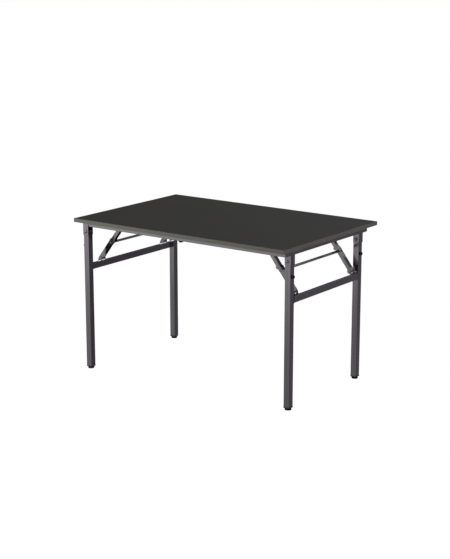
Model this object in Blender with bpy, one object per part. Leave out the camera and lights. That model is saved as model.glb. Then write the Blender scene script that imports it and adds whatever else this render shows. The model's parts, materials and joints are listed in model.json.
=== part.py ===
"""Folding utility table: a laminate top on a steel rail frame, with two folding leg frames.

Each leg frame is two square legs and a crossbar, hinged under the ends of the table and held
upright by a pair of two-link toggle braces. A rod joins the two elbows of a pair, and pushing it
outward breaks the toggles. The right leg frame is narrower, so it folds inside the left one.

Metres, +Z up. The origin is on the floor under the middle of the top, X along the long side.
"""

import math

import bmesh
import bpy
from mathutils import Vector

# Driving dimensions
TOP_LENGTH = 1.200
TOP_DEPTH = 0.785
TABLE_HEIGHT = 0.750
TOP_THICKNESS = 0.018
BAND_THICKNESS = 0.0015
BAND_ROUNDING = 0.0008
TOP_CORNER = 0.002
GAP = 0.0003
SHEET = 0.002

RAIL_SIZE = 0.025
RAIL_WALL = 0.0015
RAIL_CORNER = 0.0012
FRAME_OUTER_X = 0.574
FRAME_OUTER_Y = 0.343

LEG_SIZE = 0.030
LEG_WALL = 0.0015
LEG_CORNER = 0.0012
LEG_BOTTOM = 0.0148
PIVOT_HEIGHT = 0.680
LEG_AXIS_X = {"left": 0.5675, "right": 0.5588}
LEG_AXIS_Y = {"left": 0.3281, "right": 0.2861}

CROSSBAR_THICKNESS = 0.015
CROSSBAR_HEIGHT = 0.030
CROSSBAR_BOTTOM = {"left": 0.4885, "right": 0.4898}

BRACKET_CLEARANCE = 0.0005
BRACKET_BOTTOM = 0.664
BOLT_RADIUS = 0.004
BOLT_HEAD_RADIUS = 0.007
BOLT_HEAD_HEIGHT = 0.0035
BOLT_TAIL = 0.008

CAP_FLANGE_SIZE = 0.032
CAP_FLANGE_CORNER = 0.0022
CAP_CHAMFER = 0.001
CAP_FLANGE_BOTTOM = 0.0095
CAP_FLANGE_HEIGHT = 0.005
CAP_PLUG_SIZE = 0.0262
CAP_PLUG_CORNER = 0.0006
CAP_PLUG_TOP = 0.034
FOOT_RADIUS = 0.0155
FOOT_DISC_HEIGHT = 0.0062
FOOT_COLLAR_RADIUS = 0.0085
FOOT_STEM_RADIUS = 0.004
FOOT_STEM_TOP = 0.046

BUMPER_RADIUS = 0.0082
BUMPER_HEIGHT = 0.0095
BUMPER_CENTRE_Z = 0.611

# Braces, measured inward from the leg axis and up from the floor. A link's offset is how far the
# middle of its section lies from the line of its pivots, toward the end of the table.
BRACE_AXIS_Y = 0.239
ELBOW_INWARD = 0.0710
ELBOW_HEIGHT = 0.6205
BRACE_LEAN = math.radians(37.5)
UPPER_LINK_LENGTH = 0.0992
LOWER_LINK_LENGTH = 0.1118
LINK_SHEET = 0.0015
UPPER_LINK_HALF_WIDTH = 0.0110
UPPER_LINK_HALF_DEPTH = 0.0088
UPPER_LINK_OFFSET = -0.0006
LOWER_LINK_HALF_WIDTH = 0.0128
LOWER_LINK_HALF_DEPTH = 0.0082
LOWER_LINK_OFFSET = 0.0016
FORK_LENGTH = 0.046
CLEVIS_CLEARANCE = 0.018
STOP_START = 0.008
STOP_END = 0.020
LUG_START = 0.0115
LUG_END = 0.0275
LUG_SLOPE = 0.0035
LUG_DEPTH = 0.0150
ROD_RADIUS = 0.0061
ROD_TENON_RADIUS = 0.004
PIN_RADIUS = 0.003
PIN_HEAD_RADIUS = 0.0055
PIN_HEAD_HEIGHT = 0.0022

ANCHOR_HALF_WIDTH = 0.0134
ANCHOR_EAR_RADIUS = 0.0075
ANCHOR_FOOT_LENGTH = 0.044
CLEVIS_HALF_WIDTH = 0.0152
CLEVIS_EAR_RADIUS = 0.012
CLEVIS_EAR_CENTRE = (0.005, 0.534)
CLEVIS_BASE_REACH = 0.008

REST_PAD_RADIUS = 0.0125
REST_PAD_HEIGHT = 0.0085
REST_PAD_X = -0.004

TOP_UNDERSIDE = TABLE_HEIGHT - TOP_THICKNESS
RAIL_TOP = TOP_UNDERSIDE - GAP
RAIL_BOTTOM = RAIL_TOP - RAIL_SIZE
SIDES = {"left": -1, "right": 1}
ENDS = {"front": -1, "rear": 1}
ROUND_SEGMENTS = 16
RIVET_SEGMENTS = 12
HOLE_SEGMENTS = 12


def clear_scene():
    """Remove whatever objects the file opened with."""
    for item in list(bpy.data.objects):
        bpy.data.objects.remove(item, do_unlink=True)


def make_material(name, color, roughness, metallic):
    """A plain Principled material in the part's own colour."""
    material = bpy.data.materials.new(name)
    material.use_nodes = True
    shader = material.node_tree.nodes["Principled BSDF"]
    shader.inputs["Base Color"].default_value = (*color, 1.0)
    shader.inputs["Roughness"].default_value = roughness
    shader.inputs["Metallic"].default_value = metallic
    material.diffuse_color = (*color, 1.0)
    return material


# Outlines: lists of 2D points, one turn around

def arc(centre, radius, start, end, steps):
    """Points on a circle from angle start to angle end, in degrees, both included."""
    points = []
    for step in range(steps + 1):
        angle = math.radians(start + (end - start) * step / steps)
        points.append((centre[0] + radius * math.cos(angle), centre[1] + radius * math.sin(angle)))
    return points


def rounded_rectangle(width, height, radius, centre=(0.0, 0.0), steps=3):
    """A rectangle with round corners, counter-clockwise."""
    across = width / 2 - radius
    along = height / 2 - radius
    corners = ((across, along, 0), (-across, along, 90), (-across, -along, 180), (across, -along, 270))
    outline = []
    for x, y, start in corners:
        outline += arc((centre[0] + x, centre[1] + y), radius, start, start + 90, steps)
    return outline


# Solids, each added to a bmesh

def skin(bm, rings, wrap=False):
    """Join rings of equal length into one closed skin, either capped or wrapped round a hollow."""
    loops = [[bm.verts.new(point) for point in ring] for ring in rings]
    pairs = list(zip(loops, loops[1:]))
    if wrap:
        pairs.append((loops[-1], loops[0]))
    for lower, upper in pairs:
        for index in range(len(lower)):
            following = (index + 1) % len(lower)
            bm.faces.new((lower[index], lower[following], upper[following], upper[index]))
    if not wrap:
        bm.faces.new(loops[0])
        bm.faces.new(loops[-1])


def prism(outline, axis, start, end):
    """An outline pushed along an axis. The outline's own axes are the other two, in X, Y, Z order."""
    def at(distance):
        ring = []
        for first, second in outline:
            point = [first, second]
            point.insert("XYZ".index(axis), distance)
            ring.append(tuple(point))
        return ring

    bm = bmesh.new()
    skin(bm, [at(start), at(end)])
    return bm


def box(low, high):
    """A plain box between two corners."""
    outline = [(low[0], low[1]), (high[0], low[1]), (high[0], high[1]), (low[0], high[1])]
    return prism(outline, "Z", low[2], high[2])


def turned(profile, centre, axis, steps=ROUND_SEGMENTS):
    """A solid of revolution from (radius, distance) points, closed by flat ends."""
    bm = bmesh.new()
    rings = []
    for radius, distance in profile:
        ring = []
        for step in range(steps):
            angle = math.tau * step / steps
            point = [radius * math.cos(angle), radius * math.sin(angle)]
            point.insert("XYZ".index(axis), distance)
            ring.append(Vector(centre) + Vector(point))
        rings.append(ring)
    skin(bm, rings)
    return bm


def tube(width, height, corner, wall, axis, centre, start, end):
    """A rectangular tube open at both ends. start and end may depend on the first cross axis."""
    outer = rounded_rectangle(width, height, corner, centre)
    inner = rounded_rectangle(width - 2 * wall, height - 2 * wall, corner - wall / 2, centre)

    def at(outline, limit):
        ring = []
        for first, second in outline:
            point = [first, second]
            point.insert("XYZ".index(axis), limit(first) if callable(limit) else limit)
            ring.append(tuple(point))
        return ring

    bm = bmesh.new()
    skin(bm, [at(outer, start), at(outer, end), at(inner, end), at(inner, start)], wrap=True)
    return bm


def add_object(name, bm, material, origin=(0.0, 0.0, 0.0), parent=None, smooth=False):
    """Turn a bmesh in world coordinates into an object whose origin is at the given point."""
    bmesh.ops.recalc_face_normals(bm, faces=bm.faces)
    bmesh.ops.translate(bm, verts=bm.verts, vec=-Vector(origin))
    mesh = bpy.data.meshes.new(name)
    bm.to_mesh(mesh)
    bm.free()
    if smooth:
        mesh.shade_smooth()
        mesh.set_sharp_from_angle(angle=math.radians(35))
    item = bpy.data.objects.new(name, mesh)
    bpy.context.scene.collection.objects.link(item)
    item.location = Vector(origin)
    if parent:
        item.parent = parent
        item.location = Vector(origin) - parent.location
    if material:
        mesh.materials.append(material)
    return item


def add_pivot(name, location):
    """An empty on a joint's axis, which carries the pieces that turn about it."""
    empty = bpy.data.objects.new(name, None)
    empty.empty_display_size = 0.03
    empty.location = Vector(location)
    bpy.context.scene.collection.objects.link(empty)
    return empty


def cut(bm, *tools):
    """Cut solids out of one, and return what is left as a new bmesh."""
    target = add_object("boolean_target", bm, None)
    cutters = [add_object("boolean_tool", tool, None) for tool in tools]
    for cutter in cutters:
        modifier = target.modifiers.new("Boolean", "BOOLEAN")
        modifier.object = cutter
        modifier.operation = "DIFFERENCE"
        modifier.solver = "EXACT"
    bpy.context.view_layer.update()
    evaluated = target.evaluated_get(bpy.context.evaluated_depsgraph_get())
    result = bmesh.new()
    result.from_mesh(evaluated.to_mesh())
    evaluated.to_mesh_clear()
    for item in [target, *cutters]:
        bpy.data.objects.remove(item, do_unlink=True)
    bmesh.ops.remove_doubles(result, verts=result.verts, dist=1e-6)
    return result


def hole(centre, radius, axis, length):
    """A round cutter through a point."""
    return turned([(radius, -length / 2), (radius, length / 2)], centre, axis, HOLE_SEGMENTS)


# Places

def inward(side, distance):
    """The X of a point this far from a leg frame's hinge axis toward the middle of the table."""
    return SIDES[side] * (LEG_AXIS_X[side] - distance)


def side_outline(side, points):
    """Turn (inward distance, height) points of a leg frame into X, Z points."""
    return [(inward(side, distance), height) for distance, height in points]


def brace_point(along, offset=0.0):
    """A point on the straight brace, along it from the elbow toward the top.

    A positive offset is toward the end of the table, square to the brace.
    """
    distance = ELBOW_INWARD + along * math.sin(BRACE_LEAN) - offset * math.cos(BRACE_LEAN)
    height = ELBOW_HEIGHT + along * math.cos(BRACE_LEAN) + offset * math.sin(BRACE_LEAN)
    return (distance, height)


ANCHOR_POINT = brace_point(UPPER_LINK_LENGTH)
CLEVIS_POINT = brace_point(-LOWER_LINK_LENGTH)


# Tabletop

def build_top(laminate, edging):
    """The laminate panel and the band round its edge."""
    panel_length = TOP_LENGTH - 2 * (BAND_THICKNESS + GAP)
    panel_depth = TOP_DEPTH - 2 * (BAND_THICKNESS + GAP)
    panel_corner = TOP_CORNER - BAND_THICKNESS
    outline = rounded_rectangle(panel_length, panel_depth, panel_corner)
    add_object("tabletop_panel", prism(outline, "Z", TOP_UNDERSIDE, TABLE_HEIGHT), laminate)

    def band_ring(inset, height):
        outline = rounded_rectangle(TOP_LENGTH - 2 * inset, TOP_DEPTH - 2 * inset, TOP_CORNER - inset)
        return [(x, y, height) for x, y in outline]

    rings = [band_ring(BAND_THICKNESS, TOP_UNDERSIDE)]
    for step in range(3):
        angle = math.radians(45 * step)
        inset = BAND_ROUNDING * (1 - math.sin(angle))
        rings.append(band_ring(inset, TOP_UNDERSIDE + BAND_ROUNDING * (1 - math.cos(angle))))
    for step in range(3):
        angle = math.radians(45 * step)
        inset = BAND_ROUNDING * (1 - math.cos(angle))
        rings.append(band_ring(inset, TABLE_HEIGHT - BAND_ROUNDING * (1 - math.sin(angle))))
    rings.append(band_ring(BAND_THICKNESS, TABLE_HEIGHT))
    bm = bmesh.new()
    skin(bm, rings, wrap=True)
    add_object("edge_band", bm, edging, smooth=True)


# Rail frame

def rail(axis, centre, start, end):
    """A length of the frame's square tube."""
    return tube(RAIL_SIZE, RAIL_SIZE, RAIL_CORNER, RAIL_WALL, axis, centre, start, end)


def build_rails(steel):
    """Two long rails and two end rails, mitred together at the right-hand end."""
    middle_z = RAIL_TOP - RAIL_SIZE / 2
    left_end = -(LEG_AXIS_X["left"] - LEG_SIZE / 2) + GAP
    for end, sign in ENDS.items():
        middle_y = sign * (FRAME_OUTER_Y - RAIL_SIZE / 2)

        def mitre(y):
            return FRAME_OUTER_X - GAP - (FRAME_OUTER_Y - abs(y))

        add_object(f"{end}_rail", rail("X", (middle_y, middle_z), left_end, mitre), steel)

    def corner(x):
        return FRAME_OUTER_Y - (FRAME_OUTER_X - x)

    middle_x = FRAME_OUTER_X - RAIL_SIZE / 2
    bm = rail("Y", (middle_x, middle_z), lambda x: -corner(x), corner)
    add_object("right_end_rail", bm, steel)

    plate_inner = LEG_AXIS_Y["left"] - LEG_SIZE / 2 - BRACKET_CLEARANCE - SHEET
    middle_x = -(LEG_AXIS_X["left"] + LEG_SIZE / 2 + BRACKET_CLEARANCE - RAIL_SIZE / 2)
    reach = plate_inner - GAP
    add_object("left_end_rail", rail("Y", (middle_x, middle_z), -reach, reach), steel)


def build_leg_bracket(side, end, steel):
    """A U of sheet round the top of a leg, open toward the middle of the table."""
    half_inner = LEG_SIZE / 2 + BRACKET_CLEARANCE
    half_outer = half_inner + SHEET
    centre_y = ENDS[end] * LEG_AXIS_Y[side]
    inner_edge = LEG_SIZE / 2
    bend = SHEET + 0.001

    def u_profile(distance, half_width, radius):
        back = arc((-distance + radius, half_width - radius), radius, 90, 180, 2)
        front = arc((-distance + radius, -half_width + radius), radius, 180, 270, 2)
        return [(inner_edge, half_width), *back, *front, (inner_edge, -half_width)]

    outside = u_profile(half_outer, half_outer, bend)
    inside = u_profile(half_inner, half_inner, bend - SHEET)
    outline = [(inward(side, x), centre_y + y) for x, y in outside + inside[::-1]]
    bm = prism(outline, "Z", BRACKET_BOTTOM, RAIL_TOP)
    centre = (inward(side, 0), centre_y, PIVOT_HEIGHT)
    cutters = [hole(centre, BOLT_RADIUS + GAP, "Y", 2 * LEG_SIZE)]
    if side == "right":
        low = (FRAME_OUTER_X - 2 * LEG_SIZE, centre_y - LEG_SIZE, RAIL_BOTTOM - GAP)
        high = (FRAME_OUTER_X + GAP, centre_y + LEG_SIZE, TABLE_HEIGHT)
        cutters.append(box(low, high))
    add_object(f"{side}_{end}_leg_bracket", cut(bm, *cutters), steel)


def build_pivot_bolt(side, end, zinc):
    """The bolt that a leg turns on, with its head on the outer plate."""
    sign = ENDS[end]
    plate = LEG_SIZE / 2 + BRACKET_CLEARANCE + SHEET
    head = plate + GAP
    profile = [
        (BOLT_RADIUS, -plate - BOLT_TAIL),
        (BOLT_RADIUS, head),
        (BOLT_HEAD_RADIUS, head),
        (BOLT_HEAD_RADIUS, head + BOLT_HEAD_HEIGHT * 0.4),
        (BOLT_HEAD_RADIUS * 0.8, head + BOLT_HEAD_HEIGHT * 0.8),
        (BOLT_HEAD_RADIUS * 0.45, head + BOLT_HEAD_HEIGHT),
    ]
    profile = [(radius, sign * distance) for radius, distance in profile]
    centre = (inward(side, 0), sign * LEG_AXIS_Y[side], PIVOT_HEIGHT)
    add_object(f"{side}_{end}_pivot_bolt", turned(profile, centre, "Y"), zinc, centre, smooth=True)


def build_rest_pad(end, rubber):
    """A rubber button under a long rail that cushions the folded left legs."""
    top = RAIL_BOTTOM - GAP
    centre_y = ENDS[end] * (FRAME_OUTER_Y - RAIL_SIZE / 2)
    profile = [(REST_PAD_RADIUS, 0.0)]
    for step in range(1, 4):
        angle = math.radians(25 * step)
        profile.append((REST_PAD_RADIUS * math.cos(angle), -REST_PAD_HEIGHT * math.sin(angle)))
    profile.append((REST_PAD_RADIUS * 0.1, -REST_PAD_HEIGHT))
    centre = (REST_PAD_X, centre_y, top)
    add_object(f"{end}_leg_rest_pad", turned(profile, centre, "Z"), rubber, centre, smooth=True)


def build_brace_anchor(side, end, steel, zinc):
    """The bracket under the top that carries a brace's upper end, and its rivet."""
    centre_y = ENDS[end] * BRACE_AXIS_Y
    distance, height = ANCHOR_POINT
    half_foot = ANCHOR_FOOT_LENGTH / 2
    ear = arc((distance, height), ANCHOR_EAR_RADIUS, 180, 360, 7)
    shoulder = RAIL_TOP - 4 * SHEET
    outline = [(distance + half_foot, shoulder), (distance + half_foot, RAIL_TOP)]
    outline += [(distance - half_foot, RAIL_TOP), (distance - half_foot, shoulder)] + ear
    low_y = centre_y - ANCHOR_HALF_WIDTH
    high_y = centre_y + ANCHOR_HALF_WIDTH
    bm = prism([(inward(side, x), z) for x, z in outline], "Y", low_y, high_y)
    x_ends = sorted(inward(side, distance + reach) for reach in (-ANCHOR_FOOT_LENGTH, ANCHOR_FOOT_LENGTH))
    low = (x_ends[0], low_y + SHEET, height - LEG_SIZE)
    high = (x_ends[1], high_y - SHEET, RAIL_TOP - SHEET)
    centre = (inward(side, distance), centre_y, height)
    bm = cut(bm, box(low, high), hole(centre, PIN_RADIUS + GAP, "Y", 2 * LEG_SIZE))
    add_object(f"{side}_{end}_brace_anchor", bm, steel)
    add_rivet(f"{side}_{end}_anchor_rivet", centre, ANCHOR_HALF_WIDTH, zinc, None)


def add_rivet(name, centre, half_grip, zinc, parent):
    """A rivet along Y with a low domed head at each end."""
    head = half_grip + GAP
    half = [
        (PIN_HEAD_RADIUS * 0.6, head + PIN_HEAD_HEIGHT),
        (PIN_HEAD_RADIUS, head + PIN_HEAD_HEIGHT * 0.4),
        (PIN_HEAD_RADIUS, head),
        (PIN_RADIUS, head),
    ]
    profile = half + [(radius, -distance) for radius, distance in half[::-1]]
    add_object(name, turned(profile, centre, "Y", RIVET_SEGMENTS), zinc, centre, parent, smooth=True)


# Leg frames

def build_leg(side, end, pivot, steel):
    """A square tube leg, rounded over at the top so that it turns inside its bracket."""
    centre = (inward(side, 0), ENDS[end] * LEG_AXIS_Y[side])
    top = PIVOT_HEIGHT + LEG_SIZE / 2
    bm = tube(LEG_SIZE, LEG_SIZE, LEG_CORNER, LEG_WALL, "Z", centre, LEG_BOTTOM, top)
    crown = arc((0.0, PIVOT_HEIGHT), LEG_SIZE / 2, 180, 0, 10)
    corners = [(LEG_SIZE, PIVOT_HEIGHT), (LEG_SIZE, top + LEG_SIZE)]
    corners += [(-LEG_SIZE, top + LEG_SIZE), (-LEG_SIZE, PIVOT_HEIGHT)]
    outline = side_outline(side, crown + corners)
    rounding = prism(outline, "Y", centre[1] - LEG_SIZE, centre[1] + LEG_SIZE)
    bolt_hole = hole((*centre, PIVOT_HEIGHT), BOLT_RADIUS + GAP, "Y", 2 * LEG_SIZE)
    add_object(f"{side}_{end}_leg", cut(bm, rounding, bolt_hole), steel, pivot.location, pivot)


def build_leg_cap(side, end, pivot, plastic):
    """The plastic plug in the bottom of a leg, with the hole that the foot screws into."""
    centre = (inward(side, 0), ENDS[end] * LEG_AXIS_Y[side])
    flange_top = CAP_FLANGE_BOTTOM + CAP_FLANGE_HEIGHT
    flange = rounded_rectangle(CAP_FLANGE_SIZE, CAP_FLANGE_SIZE, CAP_FLANGE_CORNER, centre)
    base_size = CAP_FLANGE_SIZE - 2 * CAP_CHAMFER
    chamfered = rounded_rectangle(base_size, base_size, CAP_FLANGE_CORNER - CAP_CHAMFER, centre)
    plug = rounded_rectangle(CAP_PLUG_SIZE, CAP_PLUG_SIZE, CAP_PLUG_CORNER, centre)
    levels = [
        (chamfered, CAP_FLANGE_BOTTOM),
        (flange, CAP_FLANGE_BOTTOM + CAP_CHAMFER),
        (flange, flange_top),
        (plug, flange_top),
        (plug, CAP_PLUG_TOP),
    ]
    bm = bmesh.new()
    skin(bm, [[(x, y, height) for x, y in outline] for outline, height in levels])
    bore = hole((*centre, flange_top), FOOT_STEM_RADIUS + GAP, "Z", 4 * CAP_PLUG_TOP)
    add_object(f"{side}_{end}_leg_cap", cut(bm, bore), plastic, pivot.location, pivot)


def build_levelling_foot(side, end, pivot, rubber):
    """A round foot on a threaded stem that screws in and out of the leg cap."""
    centre = (inward(side, 0), ENDS[end] * LEG_AXIS_Y[side], 0.0)
    disc_top = FOOT_DISC_HEIGHT
    collar_top = CAP_FLANGE_BOTTOM - GAP
    profile = [
        (FOOT_RADIUS - 0.0012, 0.0),
        (FOOT_RADIUS, 0.0012),
        (FOOT_RADIUS, disc_top - 0.0012),
        (FOOT_RADIUS - 0.0012, disc_top),
        (FOOT_COLLAR_RADIUS, disc_top),
        (FOOT_COLLAR_RADIUS, collar_top),
        (FOOT_STEM_RADIUS, collar_top),
        (FOOT_STEM_RADIUS, FOOT_STEM_TOP),
    ]
    bm = turned(profile, centre, "Z")
    add_object(f"{side}_{end}_levelling_foot", bm, rubber, centre, pivot, smooth=True)


def build_bumper(side, end, pivot, rubber):
    """A rubber button on the outer face of a leg that keeps stacked tables apart."""
    face = -(LEG_SIZE / 2 + GAP)
    profile = [
        (BUMPER_RADIUS, face),
        (BUMPER_RADIUS, face - BUMPER_HEIGHT * 0.45),
        (BUMPER_RADIUS * 0.93, face - BUMPER_HEIGHT * 0.75),
        (BUMPER_RADIUS * 0.75, face - BUMPER_HEIGHT * 0.93),
        (BUMPER_RADIUS * 0.45, face - BUMPER_HEIGHT),
    ]
    profile = [(radius, -SIDES[side] * distance) for radius, distance in profile]
    centre = (inward(side, 0), ENDS[end] * LEG_AXIS_Y[side], BUMPER_CENTRE_Z)
    bm = turned(profile, centre, "X")
    add_object(f"{side}_{end}_stack_bumper", bm, rubber, centre, pivot, smooth=True)


def build_crossbar(side, pivot, steel):
    """The flat tube between a frame's two legs, flush with their outer faces."""
    middle_x = inward(side, (CROSSBAR_THICKNESS - LEG_SIZE) / 2)
    middle = (middle_x, CROSSBAR_BOTTOM[side] + CROSSBAR_HEIGHT / 2)
    reach = LEG_AXIS_Y[side] - LEG_SIZE / 2 - GAP
    bm = tube(CROSSBAR_THICKNESS, CROSSBAR_HEIGHT, LEG_CORNER, LEG_WALL, "Y", middle, -reach, reach)
    add_object(f"{side}_crossbar", bm, steel, pivot.location, pivot)


def build_clevis(side, end, pivot, steel, zinc):
    """The fork on the crossbar that carries a brace's lower end, and its rivet."""
    centre_y = ENDS[end] * BRACE_AXIS_Y
    distance, height = CLEVIS_POINT
    base = CROSSBAR_BOTTOM[side] + CROSSBAR_HEIGHT + GAP
    inner_edge = CROSSBAR_THICKNESS - LEG_SIZE / 2
    ear = arc(CLEVIS_EAR_CENTRE, CLEVIS_EAR_RADIUS, -50, 110, 10)
    outline = [(-CLEVIS_BASE_REACH, base), (inner_edge, base), *ear, (-CLEVIS_BASE_REACH, base + 2 * SHEET)]
    low_y = centre_y - CLEVIS_HALF_WIDTH
    high_y = centre_y + CLEVIS_HALF_WIDTH
    bm = prism(side_outline(side, outline), "Y", low_y, high_y)
    x_ends = sorted((inward(side, -LEG_SIZE), inward(side, LEG_SIZE)))
    low = (x_ends[0], low_y + SHEET, base + SHEET)
    high = (x_ends[1], high_y - SHEET, height + LEG_SIZE)
    centre = (inward(side, distance), centre_y, height)
    bm = cut(bm, box(low, high), hole(centre, PIN_RADIUS + GAP, "Y", 2 * LEG_SIZE))
    add_object(f"{side}_{end}_brace_clevis", bm, steel, pivot.location, pivot)
    add_rivet(f"{side}_{end}_clevis_rivet", centre, CLEVIS_HALF_WIDTH, zinc, pivot)


# Braces

def brace_outline(side, points):
    """Turn (along, offset) points of a straight brace into X, Z points."""
    return side_outline(side, [brace_point(along, offset) for along, offset in points])


def build_upper_link(side, end, pivot, steel):
    """The narrow channel link under the top, with its web on the outer side and a pair of lugs."""
    centre_y = ENDS[end] * BRACE_AXIS_Y
    half = UPPER_LINK_HALF_WIDTH
    depth = UPPER_LINK_HALF_DEPTH
    middle = UPPER_LINK_OFFSET
    inner_edge = middle - depth
    outline = arc((UPPER_LINK_LENGTH, middle), depth, -90, 90, 6)
    outline += arc((0.0, middle), depth, 90, 270, 6)
    outline += [
        (LUG_START, inner_edge),
        (LUG_START + LUG_SLOPE, -LUG_DEPTH),
        (LUG_END - LUG_SLOPE, -LUG_DEPTH),
        (LUG_END, inner_edge),
    ]
    bm = prism(brace_outline(side, outline), "Y", centre_y - half, centre_y + half)

    inner_half = half - LINK_SHEET
    far = UPPER_LINK_LENGTH + 2 * depth
    near = -2 * depth
    web_face = middle + depth - LINK_SHEET
    below = -2 * LUG_DEPTH
    channel = [(near, below), (far, below), (far, web_face), (near, web_face)]
    cutters = [prism(brace_outline(side, channel), "Y", centre_y - inner_half, centre_y + inner_half)]
    distance, height = ANCHOR_POINT
    cutters.append(hole((inward(side, distance), centre_y, height), PIN_RADIUS + GAP, "Y", 2 * LEG_SIZE))
    cutters.append(hole(elbow(side, centre_y), PIN_RADIUS + GAP, "Y", 2 * LEG_SIZE))
    add_object(f"{side}_{end}_upper_link", cut(bm, *cutters), steel, pivot.location, pivot)


def elbow(side, y):
    """The elbow axis of a frame's braces, at a given Y."""
    return (inward(side, ELBOW_INWARD), y, ELBOW_HEIGHT)


def build_lower_link(side, end, pivot, steel):
    """The wide channel link on the crossbar, forked at the elbow, with a stop across its tip."""
    centre_y = ENDS[end] * BRACE_AXIS_Y
    half = LOWER_LINK_HALF_WIDTH
    depth = LOWER_LINK_HALF_DEPTH
    middle = LOWER_LINK_OFFSET
    outer_edge = middle + depth
    stop_face = UPPER_LINK_OFFSET + UPPER_LINK_HALF_DEPTH + 2 * GAP
    stop_back = stop_face + LINK_SHEET
    outline = arc((-LOWER_LINK_LENGTH, middle), depth, 90, 270, 6)
    outline += arc((STOP_END - depth, middle), depth, 270, 360, 3)
    outline += [(STOP_END, stop_back), (STOP_START - GAP, stop_back), (STOP_START - depth / 2, outer_edge)]
    bm = prism(brace_outline(side, outline), "Y", centre_y - half, centre_y + half)

    web_face = outer_edge - LINK_SHEET
    near = -LOWER_LINK_LENGTH - 2 * depth
    beyond = 2 * STOP_END
    below = -2 * depth
    above = 2 * depth
    web_start = CLEVIS_CLEARANCE - LOWER_LINK_LENGTH
    hollow = [
        (near, below),
        (beyond, below),
        (beyond, stop_face),
        (STOP_START, stop_face),
        (STOP_START, above),
        (-FORK_LENGTH, above),
        (-FORK_LENGTH, web_face),
        (web_start, web_face),
        (web_start, above),
        (near, above),
    ]
    inner_half = half - LINK_SHEET
    cutters = [prism(brace_outline(side, hollow), "Y", centre_y - inner_half, centre_y + inner_half)]
    distance, height = CLEVIS_POINT
    cutters.append(hole((inward(side, distance), centre_y, height), PIN_RADIUS + GAP, "Y", 2 * LEG_SIZE))
    cutters.append(hole(elbow(side, centre_y), ROD_TENON_RADIUS + GAP, "Y", 2 * LEG_SIZE))
    add_object(f"{side}_{end}_lower_link", cut(bm, *cutters), steel, pivot.location, pivot)


def build_release_rod(side, pivot, steel):
    """The rod between a frame's two elbows, with a tenon in each lower link's inner flange."""
    shoulder = BRACE_AXIS_Y - LOWER_LINK_HALF_WIDTH - GAP
    tip = shoulder + LINK_SHEET
    half = [(ROD_TENON_RADIUS, tip), (ROD_TENON_RADIUS, shoulder), (ROD_RADIUS, shoulder)]
    profile = half + [(radius, -distance) for radius, distance in half[::-1]]
    bm = turned(profile, elbow(side, 0.0), "Y")
    add_object(f"{side}_release_rod", bm, steel, elbow(side, 0.0), pivot, smooth=True)


def build_leg_frame(side, steel, zinc, plastic, rubber):
    """One folding leg frame with its braces."""
    anchor_x = inward(side, ANCHOR_POINT[0])
    clevis_x = inward(side, CLEVIS_POINT[0])
    leg_pivot = add_pivot(f"{side}_leg_pivot", (inward(side, 0), 0.0, PIVOT_HEIGHT))
    upper_pivot = add_pivot(f"{side}_upper_link_pivot", (anchor_x, 0.0, ANCHOR_POINT[1]))
    lower_pivot = add_pivot(f"{side}_lower_link_pivot", (clevis_x, 0.0, CLEVIS_POINT[1]))
    build_crossbar(side, leg_pivot, steel)
    build_release_rod(side, lower_pivot, steel)
    for end in ENDS:
        build_leg_bracket(side, end, steel)
        build_pivot_bolt(side, end, zinc)
        build_brace_anchor(side, end, steel, zinc)
        build_leg(side, end, leg_pivot, steel)
        build_leg_cap(side, end, leg_pivot, plastic)
        build_levelling_foot(side, end, leg_pivot, rubber)
        build_bumper(side, end, leg_pivot, rubber)
        build_clevis(side, end, leg_pivot, steel, zinc)
        build_upper_link(side, end, upper_pivot, steel)
        build_lower_link(side, end, lower_pivot, steel)


def build_table():
    """The whole table, standing with both leg frames upright."""
    clear_scene()
    laminate = make_material("top_laminate", (0.035, 0.036, 0.032), 0.45, 0.0)
    edging = make_material("edge_band", (0.13, 0.14, 0.115), 0.4, 0.0)
    steel = make_material("coated_steel", (0.17, 0.165, 0.175), 0.38, 0.3)
    zinc = make_material("zinc_fastener", (0.3, 0.3, 0.31), 0.35, 0.9)
    plastic = make_material("cap_plastic", (0.06, 0.06, 0.06), 0.5, 0.0)
    rubber = make_material("black_rubber", (0.02, 0.02, 0.02), 0.6, 0.0)
    build_top(laminate, edging)
    build_rails(steel)
    for end in ENDS:
        build_rest_pad(end, rubber)
    for side in SIDES:
        build_leg_frame(side, steel, zinc, plastic, rubber)


build_table()
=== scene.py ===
"""Looks for the folding table: surface materials, softened edges and small hardware."""

import json
import math

import bmesh
import bpy
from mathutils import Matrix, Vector


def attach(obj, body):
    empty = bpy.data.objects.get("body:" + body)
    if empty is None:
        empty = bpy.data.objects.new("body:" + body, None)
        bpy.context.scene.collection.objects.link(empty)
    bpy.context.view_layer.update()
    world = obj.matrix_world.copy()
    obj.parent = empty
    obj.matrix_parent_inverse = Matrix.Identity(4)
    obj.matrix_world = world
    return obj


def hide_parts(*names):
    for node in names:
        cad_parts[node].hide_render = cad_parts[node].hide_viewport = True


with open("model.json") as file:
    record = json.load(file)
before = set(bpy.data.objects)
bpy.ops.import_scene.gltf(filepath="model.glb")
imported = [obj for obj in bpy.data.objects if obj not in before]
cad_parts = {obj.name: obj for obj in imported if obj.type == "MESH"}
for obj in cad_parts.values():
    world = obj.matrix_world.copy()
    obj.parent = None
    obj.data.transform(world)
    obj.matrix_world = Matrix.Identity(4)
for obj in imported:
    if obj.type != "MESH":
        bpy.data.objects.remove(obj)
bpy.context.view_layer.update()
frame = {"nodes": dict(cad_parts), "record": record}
NODES = frame["nodes"]
BODY_OF = {node: body for body, nodes in frame["record"]["behaviour"]["bodies"].items() for node in nodes}
SLOT_OF = {part["node"]: part["material_slot"] for part in frame["record"]["subparts"]}
SIDES = {"left": -1, "right": 1}
ENDS = {"front": -1, "rear": 1}


# Camera, at the height and angle that the table is seen from

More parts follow.
